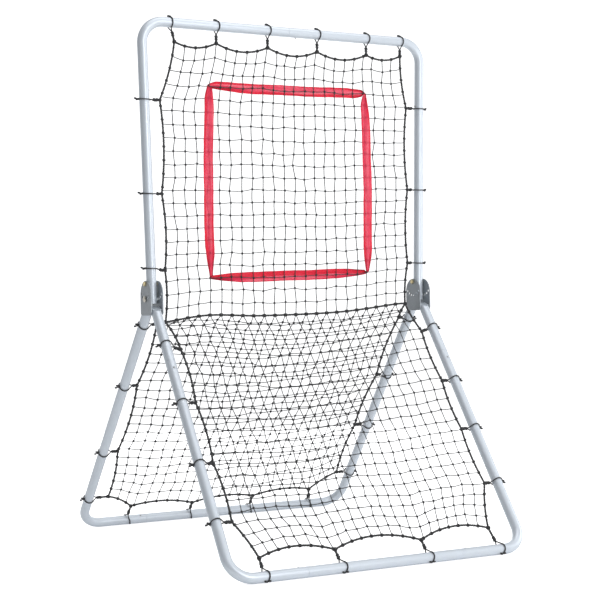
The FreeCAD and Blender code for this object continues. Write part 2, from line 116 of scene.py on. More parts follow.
UPPER = Frame("upper", (0, HINGE_Y, TOP_Z), (0, HINGE_Y, PIVOT_Z - 0.026), 0.516, 0, (0, -1, 0))
FRONT = Frame("front", middle("front_foot_bar"), (0, HINGE_Y, CROSS_Z), 0.501, 0.06, (0, -1, 1))
REAR = Frame("rear", middle("rear_foot_bar"), (0, HINGE_Y, CROSS_Z), 0.522, 0.06, (0, 1, 1))

# Where the nets' edges are held, in metres.  A side's ties give the distance from
# the bar along the leg and the rope's half width there; the bar's ties give the
# place across and the rope's distance from the bar.
NETS = {
    "upper": dict(
        frame=UPPER, rows=21, sag=0.115, reach=8, body="target_frame", cut_with_bar=(),
        leg_shift={("left", 0.786): -0.007},
        left=[(0.248, 0.458), (0.544, 0.456), (0.786, 0.449)],
        right=[(0.228, 0.458), (0.510, 0.458), (0.763, 0.454)],
        bar=[(-0.405, 0.060), (-0.259, 0.055), (-0.074, 0.056), (0.111, 0.057),
             (0.301, 0.055), (0.436, 0.050)],
        bar_ties=[(-0.014, 0.003), (0, 0.006), (0, 0.006), (0, 0.006), (0, 0.006), (0, 0.005)]),
    "front": dict(
        frame=FRONT, rows=22, sag=0.100, reach=5, body="front_leg_frame", cut_with_bar=(),
        leg_shift={("left", 0.779): 0.018, ("right", 0.822): 0.014},
        left=[(0.180, 0.450), (0.374, 0.454), (0.585, 0.453), (0.779, 0.450)],
        right=[(0.230, 0.451), (0.433, 0.447), (0.621, 0.448), (0.822, 0.447)],
        bar=[(-0.399, 0.059), (-0.152, 0.060), (0.146, 0.060), (0.398, 0.076)],
        bar_ties=[(0, 0.009), (0.004, 0.009), (0.004, 0.009), (0.010, 0.010)]),
    "rear": dict(
        frame=REAR, rows=22, sag=0.080, reach=7, body="rear_leg_frame", cut_with_bar=("left", "right"),
        leg_shift={},
        left=[(0.128, 0.447), (0.349, 0.461), (0.648, 0.459), (0.908, 0.452)],
        right=[(0.159, 0.461), (0.403, 0.456), (0.649, 0.462), (0.914, 0.456)],
        bar=[(-0.350, 0.070), (-0.110, 0.060), (0.133, 0.069), (0.368, 0.079)],
        bar_ties=[(-0.002, 0.009), (0, 0.007), (0, 0.007), (0.017, 0.007)]),
}
# The waist rope's line, across and up: it hangs a little lower on the left.
WAIST = [(-0.450, 0.731), (-0.300, 0.750), (-0.110, 0.745), (0.180, 0.752),
         (0.400, 0.775), (0.441, 0.776)]


# The red strips.  bow: how far the middle is drawn aside.  hems: how much of each edge
# is folded behind, at the start, the middle and the end.  ends: how wide each edge
# starts and how far in it is full, for the start and the end.  pleat: how many folds
# the ends are gathered into.  length: of the tape laid flat.
STRIPS = {
    "left": dict(
        bow=-0.006, hems=((0.40, 0.12, 0.30), (0.30, 0.07, 0.10)), pleat=1.5, length=0.62,
        ends=(((0.42, 0.120), (0.42, 0.100)), ((0.66, 0.040), (0.62, 0.080)))),
    "right": dict(
        bow=0.007, hems=((0.34, 0.09, 0.16), (0.30, 0.08, 0.22)), pleat=1.5, length=0.62,
        ends=(((0.50, 0.090), (0.50, 0.070)), ((0.42, 0.050), (0.52, 0.110)))),
    "top": dict(
        bow=-0.002, hems=((0.34, 0.20, 0.36), (0.30, 0.05, 0.26)), pleat=1.0, length=0.59,
        ends=(((0.40, 0.150), (0.50, 0.030)), ((0.70, 0.040), (0.72, 0.060)))),
    "bottom": dict(
        bow=-0.002, hems=((0.12, 0.08, 0.10), (0.46, 0.50, 0.50)), pleat=1.0, length=0.59,
        ends=(((0.38, 0.130), (0.38, 0.160)), ((0.50, 0.120), (0.50, 0.150)))),
}


# ------------------------------------------------------------ mesh code
class Shape:
    """Vertices and faces gathered piece by piece, then made into one object."""

    def __init__(self):
        self.verts, self.faces, self.count = [], [], 0

    def add(self, verts, faces):
        self.verts.append(np.asarray(verts, float))
        self.faces += [tuple(int(i) + self.count for i in f) for f in faces]
        self.count += len(verts)

    def add_rows(self, rows):
        """Faces between rows that have the same number of points."""
        n = len(rows[0])
        self.add(np.concatenate(rows), [(i * n + k, i * n + k + 1, (i + 1) * n + k + 1, (i + 1) * n + k)
                                        for i in range(len(rows) - 1) for k in range(n - 1)])

    def make(self, name, material, angle=50):
        """One smooth object, creased where its faces meet at more than the angle."""
        mesh = bpy.data.meshes.new(name)
        mesh.from_pydata([tuple(v) for v in np.concatenate(self.verts)], [], self.faces)
        mesh.update()
        mesh.shade_smooth()
        mesh.set_sharp_from_angle(angle=math.radians(angle))
        obj = bpy.data.objects.new(name, mesh)
        bpy.context.scene.collection.objects.link(obj)
        mesh.materials.append(material)
        return obj


def spline(points, step, closed=False):
    """Evenly spaced points on a smooth curve through the given ones."""
    p = np.array(points, float)
    n = len(p)
    ends = [p[-1], *p, p[0], p[1]] if closed else [2 * p[0] - p[1], *p, 2 * p[-1] - p[-2]]
    out = []
    for i in range(n if closed else n - 1):
        a, b, c, d = ends[i:i + 4]
        for t in np.linspace(0, 1, 12, endpoint=False):
            out.append(0.5 * (2 * b + (c - a) * t + (2 * a - 5 * b + 4 * c - d) * t * t
                              + (3 * b - a - 3 * c + d) * t ** 3))
    if not closed:
        out.append(p[-1])
    return even(np.array(out), step)


def even(path, step):
    """The same path with its points a given step apart."""
    run = np.concatenate([[0], np.cumsum(np.linalg.norm(np.diff(path, axis=0), axis=1))])
    count = max(2, int(round(run[-1] / step)) + 1)
    want = np.linspace(0, run[-1], count)
    return np.stack([np.interp(want, run, path[:, k]) for k in range(3)], axis=1)


def length_of(path):
    return np.linalg.norm(np.diff(path, axis=0), axis=1).sum()


def divide(path, parts):
    """The same path cut into equal parts."""
    return even(path, length_of(path) / parts)


def soften(path, passes):
    """Rounds a path's sharp turns, leaving its ends where they are."""
    path = path.copy()
    for _ in range(passes):
        path[1:-1] = (path[:-2] + 2 * path[1:-1] + path[2:]) / 4
    return path


def axes_along(path):
    """Tangent, and two directions square to it that turn as little as they can."""
    tangent = np.gradient(path, axis=0)
    tangent /= np.linalg.norm(tangent, axis=1)[:, None]
    side = np.cross(tangent[0], UP if abs(tangent[0][2]) < 0.9 else ACROSS)
    first = []
    for t in tangent:
        side = unit(side - t * (side @ t))
        first.append(side)
    first = np.array(first)
    return tangent, first, np.cross(tangent, first)


def tube(shape, path, radius, sides=6, strands=0, pitch=0.02, groove=0.16):
    """Round tube along a path; strands give it the lay of a twisted rope."""
    _, u, v = axes_along(path)
    n = len(path)
    radius = np.broadcast_to(radius, n)
    run = np.concatenate([[0], np.cumsum(np.linalg.norm(np.diff(path, axis=0), axis=1))])
    turn = np.arange(sides) * 2 * math.pi / sides
    rings = []
    for i in range(n):
        r = radius[i]
        if strands:
            lay = 2 * math.pi * run[i] / pitch
            r = r * (1 - groove + groove * np.abs(np.cos(strands * (turn - lay) / 2)))
        rings.append(path[i] + (r * np.cos(turn))[:, None] * u[i] + (r * np.sin(turn))[:, None] * v[i])
    faces = []
    for i in range(n - 1):
        for k in range(sides):
            m = (k + 1) % sides
            faces.append((i * sides + k, i * sides + m, (i + 1) * sides + m, (i + 1) * sides + k))
    faces += [tuple(range(sides))[::-1], tuple((n - 1) * sides + k for k in range(sides))]
    shape.add(np.concatenate(rings), faces)


def hoop(shape, centre, axis, radius, cord, steps=9, sides=5, lean=0.0):
    """One turn of cord round an axis, leaning to one side like a wrapped strand."""
    axis = unit(axis)
    u = unit(np.cross(axis, UP if abs(axis[2]) < 0.9 else ACROSS))
    v = np.cross(axis, u)
    verts = []
    for i in range(steps):
        a = 2 * math.pi * i / steps
        out = u * math.cos(a) + v * math.sin(a)
        mid = centre + out * radius + axis * lean * math.cos(a)
        for k in range(sides):
            b = 2 * math.pi * k / sides
            verts.append(mid + cord * (out * math.cos(b) + axis * math.sin(b)))
    faces = [(i * sides + k, i * sides + (k + 1) % sides,
              (i + 1) % steps * sides + (k + 1) % sides, (i + 1) % steps * sides + k)
             for i in range(steps) for k in range(sides)]
    shape.add(verts, faces)


# ------------------------------------------------------------ materials
def feed(tree, node, key, value):
    """Links a socket to one of the node's inputs, or sets a plain value there."""
    if isinstance(value, bpy.types.NodeSocket):
        tree.links.new(value, node.inputs[key])
    else:
        node.inputs[key].default_value = value


class Nodes:
    """Short way to lay out a material's node tree."""

    def __init__(self, name):
        self.material = bpy.data.materials.new(name)
        self.material.use_nodes = True
        self.tree = self.material.node_tree
        self.shader = self.tree.nodes["Principled BSDF"]
        self.place = self.tree.nodes.new("ShaderNodeTexCoord").outputs["Object"]

    def set(self, **values):
        for key, value in values.items():
            self.shader.inputs[key.replace("_", " ")].default_value = value
        return self

    def add(self, kind, inputs=None, **props):
        node = self.tree.nodes.new("ShaderNode" + kind)
        for key, value in props.items():
            setattr(node, key, value)
        for key, value in (inputs or {}).items():
            feed(self.tree, node, key, value)
        return node

    def noise(self, scale, detail=3.0, rough=0.5, place=None):
        return self.add("TexNoise", {"Vector": place or self.place, "Scale": scale,
                                     "Detail": detail, "Roughness": rough}).outputs["Fac"]

    def spread(self, value, low, high, start=0.3, end=0.7):
        """Maps a noise's middle to the range from low to high."""
        return self.add("MapRange", {"Value": value, "From Min": start, "From Max": end,
                                     "To Min": low, "To Max": high}).outputs["Result"]

    def mix(self, value, first, second):
        node = self.add("Mix", data_type="RGBA")
        for key, item in ((0, value), (6, first), (7, second)):
            feed(self.tree, node, key, item)
        return node.outputs[2]

    def math(self, operation, a, b=0.0):
        node = self.add("Math", operation=operation)
        for key, item in ((0, a), (1, b)):
            feed(self.tree, node, key, item)
        return node.outputs[0]

    def bump(self, height, strength, distance, under=None):
        inputs = {"Height": height, "Strength": strength, "Distance": distance}
        if under is not None:
            inputs["Normal"] = under
        return self.add("Bump", inputs).outputs["Normal"]

    def link(self, **sockets):
        for key, value in sockets.items():
            self.tree.links.new(value, self.shader.inputs[key.replace("_", " ")])
        return self


def rgb(r, g, b):
    """A colour as the sockets take it, linear and opaque."""
    return (r, g, b, 1.0)


def powder_coat(name, light, dark, rough):
    """Silver powder coat: fine flake, orange peel and a few handling scuffs."""
    n = Nodes(name).set(Metallic=0.35, IOR=1.5, Coat_Weight=0.25, Coat_Roughness=0.22)
    flake = n.noise(2600, 2.0)
    cloud = n.noise(9, 4.0)
    scuff = n.spread(n.noise(55, 8.0, 0.7), 0.0, 1.0, 0.62, 0.72)
    colour = n.mix(n.spread(flake, 0.0, 1.0), dark, light)
    colour = n.mix(n.spread(cloud, 0.0, 0.18), colour, dark)
    colour = n.mix(n.math("MULTIPLY", scuff, 0.18), colour, rgb(0.62, 0.64, 0.66))
    roughness = n.math("ADD", n.spread(cloud, rough - 0.04, rough + 0.05),
                       n.math("MULTIPLY", scuff, 0.12))
    peel = n.bump(n.noise(900, 2.0), 0.12, 0.0004)
    return n.link(Base_Color=colour, Roughness=roughness,
                  Normal=n.bump(flake, 0.05, 0.0001, peel)).material


def passivated_zinc(name, gold, green, rose):
    """Passivated zinc: a thin rainbow cast that drifts from patch to patch."""
    n = Nodes(name).set(Metallic=1.0, IOR=1.5)
    cast = n.mix(n.spread(n.noise(260, 3.0), 0.0, 1.0), gold, green)
    cast = n.mix(n.spread(n.noise(700, 4.0), 0.0, 0.5), cast, rose)
    return n.link(Base_Color=cast, Roughness=n.spread(n.noise(900, 4.0), 0.22, 0.42),
                  Normal=n.bump(n.noise(1800, 3.0), 0.1, 0.0002)).material


def spring_steel():
    """Bare spring steel, a little mottled."""
    n = Nodes("spring_steel").set(Metallic=1.0, IOR=1.5)
    colour = n.mix(n.noise(600, 4.0), rgb(0.42, 0.43, 0.45), rgb(0.60, 0.61, 0.62))
    return n.link(Base_Color=colour, Roughness=n.spread(n.noise(1200, 3.0), 0.25, 0.45),
                  Normal=n.bump(n.noise(2400, 2.0), 0.08, 0.0002)).material


def black_fibre(name, light, dark, scale, fuzz):
    """Dark twisted fibre: fine streaks, dusty high points and dull sheen."""
    n = Nodes(name).set(IOR=1.46, Sheen_Weight=0.12, Sheen_Roughness=0.5)
    fine = n.noise(scale, 5.0, 0.65)
    dust = n.noise(35, 3.0)
    colour = n.mix(n.spread(fine, 0.0, 1.0), dark, light)
    colour = n.mix(n.spread(dust, 0.0, 0.25), colour, rgb(0.075, 0.073, 0.070))
    wave = n.add("TexWave", {"Vector": n.place, "Scale": scale * 0.45, "Distortion": 6.0,
                             "Detail": 2.0}, bands_direction="DIAGONAL").outputs["Fac"]
    under = n.bump(wave, fuzz, 0.0006)
    return n.link(Base_Color=colour, Roughness=n.spread(fine, 0.55, 0.85),
                  Normal=n.bump(fine, fuzz, 0.0004, under)).material


def red_tape(name, cover, stretch):
    """Sheer red polyester tape, an open weave with streaks of painted crease shade drawn along its length
    and painted shade in its folds.

    cover is how much of the light the weave stops, and stretch draws the streaks of painted crease shade
    out.
    """
    n = Nodes(name).set(IOR=1.45, Sheen_Weight=0.3, Sheen_Roughness=0.4, Sheen_Tint=rgb(1.0, 0.5, 0.55))
    warp = n.add("TexWave", {"Vector": n.place, "Scale": 310.0, "Distortion": 0.6},
                 bands_direction="X").outputs["Fac"]
    weft = n.add("TexWave", {"Vector": n.place, "Scale": 310.0, "Distortion": 0.6},
                 bands_direction="Z").outputs["Fac"]
    threads = n.math("MAXIMUM", warp, weft)
    drawn = n.add("VectorMath", {0: n.place, 1: stretch}, operation="MULTIPLY").outputs[0]
    pull = n.noise(1.0, 4.0, 0.6, drawn)
    patch = n.noise(45, 4.0)
    colour = n.mix(n.spread(patch, 0.0, 1.0), rgb(0.97, 0.056, 0.118), rgb(0.98, 0.092, 0.162))
    # painted shade: darker red streaks drawn along the tape stand in for the shade in its creases
    colour = n.mix(n.spread(pull, 0.0, 0.6), colour, rgb(0.74, 0.006, 0.056))
    # painted shade in the folds: the fold value darkens the red, and further down it also thickens the
    # cover where the cloth doubles
    fold_shade_and_layers = n.add("Attribute", attribute_name="gathered").outputs["Fac"]
    colour = n.mix(fold_shade_and_layers, colour, rgb(0.40, 0.002, 0.030))
    n.link(Base_Color=colour, Roughness=n.spread(patch, 0.5, 0.7),
           Normal=n.bump(threads, 0.35, 0.0003))
    glow = n.add("BsdfTranslucent", {"Color": colour}).outputs[0]
    lit = n.add("MixShader", {0: 0.62, 1: n.shader.outputs[0], 2: glow}).outputs[0]
    share = n.add("MapRange", {"Value": threads, "From Min": 0.2, "From Max": 0.9,
                               "To Min": cover - 0.07, "To Max": cover + 0.04}).outputs["Result"]
    share = n.math("ADD", share, n.spread(pull, -0.05, 0.10))
    share = n.math("ADD", share, fold_shade_and_layers)
    clear = n.add("BsdfTransparent").outputs[0]
    sheer = n.add("MixShader", {0: share, 1: clear, 2: lit}).outputs[0]
    n.tree.links.new(sheer, n.tree.nodes["Material Output"].inputs["Surface"])
    return n.material


PAINT = powder_coat("silver_powder_coat", rgb(0.65, 0.70, 0.76), rgb(0.56, 0.61, 0.67), 0.37)
# The plates wear the tubes' silver powder coat painted darker: painted shade on their faces, which turn
# away from the lights.
PLATE_PAINTED_SHADE = powder_coat("plate_coat_painted_shade", rgb(0.34, 0.37, 0.40), rgb(0.26, 0.285, 0.31), 0.45)
ZINC = passivated_zinc("yellow_zinc", rgb(0.78, 0.62, 0.30), rgb(0.62, 0.66, 0.38), rgb(0.80, 0.52, 0.40))
PIN_ZINC = passivated_zinc("pale_zinc", rgb(0.66, 0.62, 0.52), rgb(0.52, 0.55, 0.52), rgb(0.66, 0.56, 0.48))
SPRING = spring_steel()
TWINE = black_fibre("net_twine_fibre", rgb(0.040, 0.041, 0.045), rgb(0.010, 0.010, 0.012), 900, 0.5)
ROPE = black_fibre("laid_rope_fibre", rgb(0.045, 0.046, 0.050), rgb(0.009, 0.009, 0.010), 700, 0.9)
CORD = black_fibre("tie_cord_braid", rgb(0.050, 0.052, 0.058), rgb(0.012, 0.012, 0.014), 1100, 0.8)
TAPE_UPRIGHT = red_tape("red_tape_upright", 0.945, (190.0, 60.0, 5.0))
TAPE_LEVEL = red_tape("red_tape_level", 0.925, (5.0, 60.0, 190.0))


def dress_frame():
    """Gives every metal node its finish, by the slot that the record names."""
    finish = {"tube_paint": PAINT, "plate_paint": PLATE_PAINTED_SHADE, "zinc_fasteners": ZINC,
              "button_steel": SPRING}
    for part in frame["record"]["subparts"]:
        if part["material_slot"] in finish:
            obj = frame["nodes"][part["node"]]
            obj.data.materials.clear()
            pin = part["node"].startswith("lock_pin")
            obj.data.materials.append(PIN_ZINC if pin else finish[part["material_slot"]])


def end_ring(node):
    """Outer rim of a hinge stub's slanting upper end, in order round it, and its normal."""
    mesh = frame["nodes"][node].data
    # the end's own faces are the only ones that look up so steeply
    lips = [p for p in mesh.polygons if p.normal.z > 0.93 and abs(p.normal.x) < 0.02]
    points = np.array([mesh.vertices[i].co for p in lips for i in p.vertices])
    normal = np.array(lips[0].normal)
    centre = (points.min(axis=0) + points.max(axis=0)) / 2
    u = unit(np.cross(normal, ACROSS))
    v = np.cross(normal, u)
    flat = np.stack([(points - centre) @ u, (points - centre) @ v], axis=1)
    rim = flat[np.hypot(*flat.T) > 0.94 * TUBE_R]
    rim = np.unique(np.round(rim, 5), axis=0)
    rim = rim[np.argsort(np.arctan2(rim[:, 1], rim[:, 0]))]
    keep = [rim[0]]
    for at in rim[1:]:
        if np.linalg.norm(at - keep[-1]) > 0.0012:
            keep.append(at)
    rim = np.array(keep)
    return centre + rim[:, :1] * u + rim[:, 1:] * v, centre, normal


def stub_welds(part):
    """Plates welded over the stubs' open ends, and the beads that hold both to the plate."""
    caps = Shape()
    for side in ("left", "right"):
        rim, centre, normal = end_ring("%s_hinge_stub_%s" % (part, side))
        n = len(rim)
        rings = [centre + (rim - centre) * k + normal * h
                 for k, h in ((1.0, 0.0001), (0.985, 0.0008), (0.80, 0.0013), (0.45, 0.0016))]
        verts = np.concatenate(rings + [[centre + normal * 0.0017]])
        faces = [(j * n + i, j * n + (i + 1) % n, (j + 1) * n + (i + 1) % n, (j + 1) * n + i)
                 for j in range(3) for i in range(n)]
        faces += [(3 * n + i, 3 * n + (i + 1) % n, 4 * n) for i in range(n)]
        caps.add(verts, faces)
        plate = middle("%s_hinge_plate_%s" % (part, side))[0]
        near = [i for i in range(n) if abs(rim[i][0] - plate) < 0.0062]
        if len(near) > 3:
            line = rim[near]
            line = line[np.argsort(line[:, 1])]
            line = even(soften(line, 4), 0.0016)
            ripple = 1 + 0.16 * np.sin(np.arange(len(line)) * 2.1)
            tube(caps, line + normal * 0.0006, 0.0017 * ripple, 8)
    return caps.make(part + "_hinge_stub_welds", PAINT)


# ------------------------------------------------------------ nets
def waist_line(parts):
    """The waist rope's line, cut into equal parts."""
    return divide(spline([(x, HINGE_Y, z) for x, z in WAIST], 0.002), parts)


def hung(a, b, pull, sag):
    """Rope between two ties, bowed by the net's pull."""
    t = np.linspace(0, 1, 30)[:, None]
    bow = sag * np.linalg.norm(b - a)
    return a + (b - a) * t + np.array(pull) * bow * 4 * t * (1 - t)


def edge(points, pull, sag):
    """Rope through its ties, with a bow between each two and softened turns."""
    spans = [hung(a, b, pull, sag) for a, b in zip(points, points[1:])]
    path = np.concatenate([s if i == 0 else s[1:] for i, s in enumerate(spans)])
    return soften(even(path, 0.002), 6)


def net_edges(net):
    """The bar's edge from left to right, and both sides from waist to bar."""
    f = net["frame"]
    waist = waist_line(COLUMNS)
    bar = [f.at(x, s) for x, s in net["bar"]]
    sides = []
    for sign, key, start in ((-1, "left", waist[0]), (1, "right", waist[-1])):
        held = [start] + [f.at(sign * x, s) for s, x in sorted(net[key], reverse=True)]
        if key in net["cut_with_bar"]:
            bar.insert(0 if sign < 0 else len(bar), held[-1])
        else:
            held.append(bar[0] if sign < 0 else bar[-1])
        sides.append(edge(held, -sign * ACROSS, 0.036))
    return edge(bar, f.along, net["sag"]), sides[0], sides[1], waist


def stray(path, a, b):
    """How far each point of a path is from the straight line between a and b."""
    return path - (a + (b - a) * np.linspace(0, 1, len(path))[:, None])


def lattice(net):
    """Knot positions, [across, from waist to bar], of one hanging net."""
    bar, left, right, waist = net_edges(net)
    rows = net["rows"]
    bar, left, right = divide(bar, COLUMNS), divide(left, rows), divide(right, rows)
    u = np.linspace(0, 1, COLUMNS + 1)[:, None, None]
    v = np.linspace(0, 1, rows + 1)[None, :, None]
    corner = [waist[0], waist[-1], bar[0], bar[-1]]
    flat = ((1 - u) * (1 - v) * corner[0] + u * (1 - v) * corner[1]
            + (1 - u) * v * corner[2] + u * v * corner[3])
    grid = flat + stray(waist, corner[0], corner[1])[:, None] * (1 - v) ** 3
    grid = grid + stray(bar, corner[2], corner[3])[:, None] * v ** net["reach"]
    grid = grid + stray(left, corner[0], corner[2])[None] * (1 - u) ** 3
    grid = grid + stray(right, corner[1], corner[3])[None] * u ** 3
    # the leg nets belly under their own weight, the upper one is pulled down a
    # little towards its top and to the left, and no two meshes pull alike
    f = net["frame"]
    inside = np.sin(math.pi * u) * np.sin(math.pi * v)
    if f is not UPPER:
        grid = grid - UP * 0.016 * inside
        grid = grid + f.along * 0.005 * np.sin(9 * u + 5 * v) * inside
        grid = grid + ACROSS * 0.005 * np.sin(11 * v + 4 * u) * inside
    else:
        grid = grid - UP * 0.095 * v ** 2 * (1 - v)
        grid = grid - ACROSS * 0.0085 * (0.2 + v) * np.clip(4 * inside, 0, 1)
        grid = grid + UP * 0.0022 * np.sin(13 * u + 6 * v) * inside
        grid = grid + ACROSS * 0.0022 * np.sin(12 * v + 7 * u) * inside
    loose = rng.normal(0, 1, grid.shape[:2] + (3,)) * (0.0020, 0.0005, 0.0018)
    grid[1:-1, 1:-1] += loose[1:-1, 1:-1]
    return grid, bar, left, right


def strand(knots, droop):
    """A twine's line through its knots, with a little slack between them."""
    path = []
    for a, b in zip(knots, knots[1:]):
        slack = np.array((rng.normal(0, 0.0004), rng.normal(0, 0.0003), -droop + rng.normal(0, 0.0004)))
        path += [a, a + (b - a) * 0.33 + slack * 0.8, a + (b - a) * 0.67 + slack * 0.8]
    return np.array(path + [knots[-1]])


def knot(shape, at, across, along, face):
    """Sheet-bend knot: three tight wraps of the twine on one another."""
    r = TWINE_R
    hoop(shape, at + face * r * 0.3, unit(across + 0.5 * along), 1.9 * r, 1.1 * r, 8, 5, 0.5 * r)
    hoop(shape, at - face * r * 0.2 + along * r, unit(along - 0.35 * across + 0.3 * face),
         1.9 * r, 1.1 * r, 8, 5, 0.4 * r)
    hoop(shape, at - along * r * 0.8, unit(face + 0.55 * across), 2.0 * r, 1.1 * r, 8, 5, 0.6 * r)


def net_mesh(name, net):
    """Every twine, knot and rope hitch of one net, as one piece."""
    shape = Shape()
    grid, bar, left, right = lattice(net)
    f = net["frame"]
    for column in grid[1:-1]:
        tube(shape, strand(column, 0.0), TWINE_R, 6)
    for row in grid[:, 1:-1].transpose(1, 0, 2):
        tube(shape, strand(row, 0.0009), TWINE_R, 6)
    for column in grid[1:-1, 1:-1]:
        for at in column:
            knot(shape, at, ACROSS, f.along, f.face)
    for path in (bar, left, right):
        for i in range(1, len(path) - 1):
            lay = path[i + 1] - path[i - 1]
            for off in (-1.1, 1.1):
                hoop(shape, path[i] + unit(lay) * off * TWINE_R, lay, HITCH_R, TWINE_R, 9, 5,
                     0.8 * TWINE_R)
    return shape.make(name, TWINE), grid


def lay_rope(shape, path):
    """Soft three-strand rope, a little uneven where it has been pulled about."""
    uneven = 1 + 0.05 * np.sin(np.arange(len(path)) * 0.9) * rng.normal(1, 0.4, len(path))
    tube(shape, path, ROPE_R * uneven, 15, strands=3, pitch=0.024, groove=0.30)


def border_rope(name, net):
    """Three-strand rope down one side, along the bar and up the other."""
    bar, left, right, _ = net_edges(net)
    path = np.concatenate([left[:-1], bar, right[::-1][1:]])
    shape = Shape()
    lay_rope(shape, soften(even(path, 0.0022), 3))
    return shape.make(name, ROPE)


def waist_rope():
    """The rope that all three nets share, with its hitches, end knots and tail."""
    shape = Shape()
    line = waist_line(399)
    lay_rope(shape, line)
    for i, at in enumerate(waist_line(COLUMNS)):
        if 0 < i < COLUMNS:
            for off in (-2.6, -0.9, 0.9, 2.6):
                hoop(shape, at + ACROSS * off * TWINE_R, ACROSS + 0.06 * UP, HITCH_R, TWINE_R,
                     10, 6, 0.8 * TWINE_R)
    end = np.array((-0.016, -0.005, -0.010))
    tail = spline([line[0], line[0] + end * 0.7, line[0] + end + (0, -0.001, -0.002)], 0.0015)
    tube(shape, tail, CORD_R * np.linspace(1.25, 1.0, len(tail)), 9, strands=3, pitch=0.011)
    hoop(shape, tail[-2], tail[-1] - tail[-2], CORD_R * 0.8, CORD_R, 9, 6)
    for at in (line[0], line[-1]):
        for turn in ((1, 0.2, 0.3), (0.2, 1, 0.4), (0.3, 0.3, 1)):
            hoop(shape, at, np.array(turn), ROPE_R * 1.25, ROPE_R * 0.8, 12, 8, ROPE_R * 0.4)
    return shape.make("waist_rope_laid", ROPE)


# ------------------------------------------------------------ ties
def wrapped_knot(shape, at, axis, core, cord, turns=2):
    """A few turns of cord pulled tight round what passes through them."""
    axis = unit(axis)
    for i in range(turns):
        off = (i - (turns - 1) / 2) * 1.9 * cord
        hoop(shape, at + axis * off, axis, core + cord * 0.7, cord, 12, 7, cord * 0.7)


def free_end(shape, path):
    """A cord laid along a path, with a stopper knot at its end."""
    path = spline(path, 0.0022)
    tube(shape, path, CORD_R, 9, strands=2, pitch=0.008, groove=0.12)
    end = unit(path[-1] - path[-3])
    wrapped_knot(shape, path[-1] - end * CORD_R * 0.6, end, CORD_R * 0.35, CORD_R * 0.75)


def twisted_hitch(shape, merge, bore, rope_at, rope_lay):
    """The tie's two strands, crossing on their way from the tube to the rope's hitch."""
    reach = unit(rope_at - merge)
    length = np.linalg.norm(rope_at - merge)
    run = np.linspace(0, 1, 40)[:, None]
    core = merge + (rope_at - merge) * run
    u = unit(np.cross(reach, bore))
    v = np.cross(reach, u)
    for phase in (0, math.pi):
        a = phase + 2 * math.pi * run * length / 0.013
        tube(shape, core + CORD_R * 1.02 * (u * np.cos(a) + v * np.sin(a)), CORD_R, 8)
    for t, tilt in ((0.004, 0.35), (0.012, -0.3)):
        if t + 0.006 < length:
            wrapped_knot(shape, merge + reach * t, reach + tilt * bore, CORD_R * 1.15, CORD_R)
    wrapped_knot(shape, rope_at, rope_lay, ROPE_R * 0.95, CORD_R)
    hoop(shape, rope_at - reach * (ROPE_R + CORD_R), reach, CORD_R * 1.4, CORD_R, 10, 6, CORD_R)


def tie(shape, centre, bore, net_way, face, rope_at, rope_lay, bow, ground=0.0):
    """Cord tied round a tube and hitched to the border rope.

    bore is the tube's axis, and bow how far the front and back strands swing along it.
    On a bar that stands on the ground both strands stop short of its underside,
    ground being the angle from the far side to it.
    """
    ring = TUBE_R + CORD_R + 0.0002

    def turn(deg, swing=0.0, lift=0.0):
        a = math.radians(deg)
        return (centre + (ring + lift) * (net_way * math.cos(a) + face * math.sin(a))
                + bore * swing * abs(math.sin(a)))

    reach = rope_at - centre
    far = np.linalg.norm(reach)
    reach = reach / far
    merge = centre + reach * (ring + min(0.011, 0.40 * (far - ring)))
    stops = (174, 180 + ground + 46) if ground else (178, 190)
    front = ([merge, turn(24, bow[0], 0.0012)] + [turn(a, bow[0]) for a in range(46, stops[0], 21)]
             + [turn(stops[0], bow[0])])
    back = ([merge, turn(-24, bow[1], 0.0012)] + [turn(a, bow[1]) for a in range(314, stops[1], -21)]
            + [turn(stops[1], bow[1])])
    out = -net_way
    if ground:
        tails = [face * 0.0045 - bore * 0.0065 - out * 0.001]
    elif abs(bore[0]) > 0.9:
        tails = [out * 0.0022 - bore * 0.0065 - face * 0.002, out * 0.0045 - bore * 0.0015 - face * 0.001]
    else:
        tails = [out * 0.0075 + bore * 0.002, out * 0.0125 - bore * 0.0025]
    for i, path in enumerate((front, back)):
        if i < len(tails):
            path += [path[-1] + tails[i] * 0.55 + out * (0 if ground else 0.0006), path[-1] + tails[i]]
        free_end(shape, path)
    if ground:
        at = turn(stops[0], bow[0]) + face * 0.0035 + bore * 0.004 + net_way * 0.0015
        tube(shape, spline([turn(stops[0] - 8, bow[0]), at, at + bore * 0.005], 0.0015), CORD_R, 9)
        wrapped_knot(shape, at + bore * 0.004, bore, CORD_R * 0.35, CORD_R * 0.75)
    else:
        wrapped_knot(shape, turn(184, 0, 0.0008), bore + 0.4 * face, CORD_R * 0.6, CORD_R * 0.9)
    twisted_hitch(shape, merge, bore, rope_at, rope_lay)


def ties(name, net):
    """Every tie of one net: up both legs and along the bar."""
    f, shape = net["frame"], Shape()
    for side, key in ((-1, "left"), (1, "right")):
        for s, x in net[key]:
            tie(shape, f.leg(side, s + net["leg_shift"].get((key, s), 0)), f.along, -side * ACROSS,
                f.face, f.at(side * x, s), f.along,
                (0.0015, 0) if f is UPPER else (0.006, 0.001) if f is FRONT else (0, -0.006))
    ground = 0 if f is UPPER else math.degrees(math.acos(-f.along @ -UP))
    for i, (x, s) in enumerate(net["bar"]):
        shift, bow = net["bar_ties"][i]
        bow = (-0.003, bow) if f is REAR else (bow, -0.002)
        tie(shape, f.at(x + shift, 0), ACROSS, f.along, f.face, f.at(x, s), ACROSS, bow, round(ground))
    return shape.make(name, CORD)


# ------------------------------------------------------------ strike zone
def gathered(obj, amount):
    """Marks how deep in a fold each point of the tape lies: its material paints shade there and lets less
    light through.
    """
    marks = obj.data.attributes.new("gathered", "FLOAT", "POINT")
    marks.data.foreach_set("value", np.full(len(marks.data), amount).astype(np.float32))
    return obj


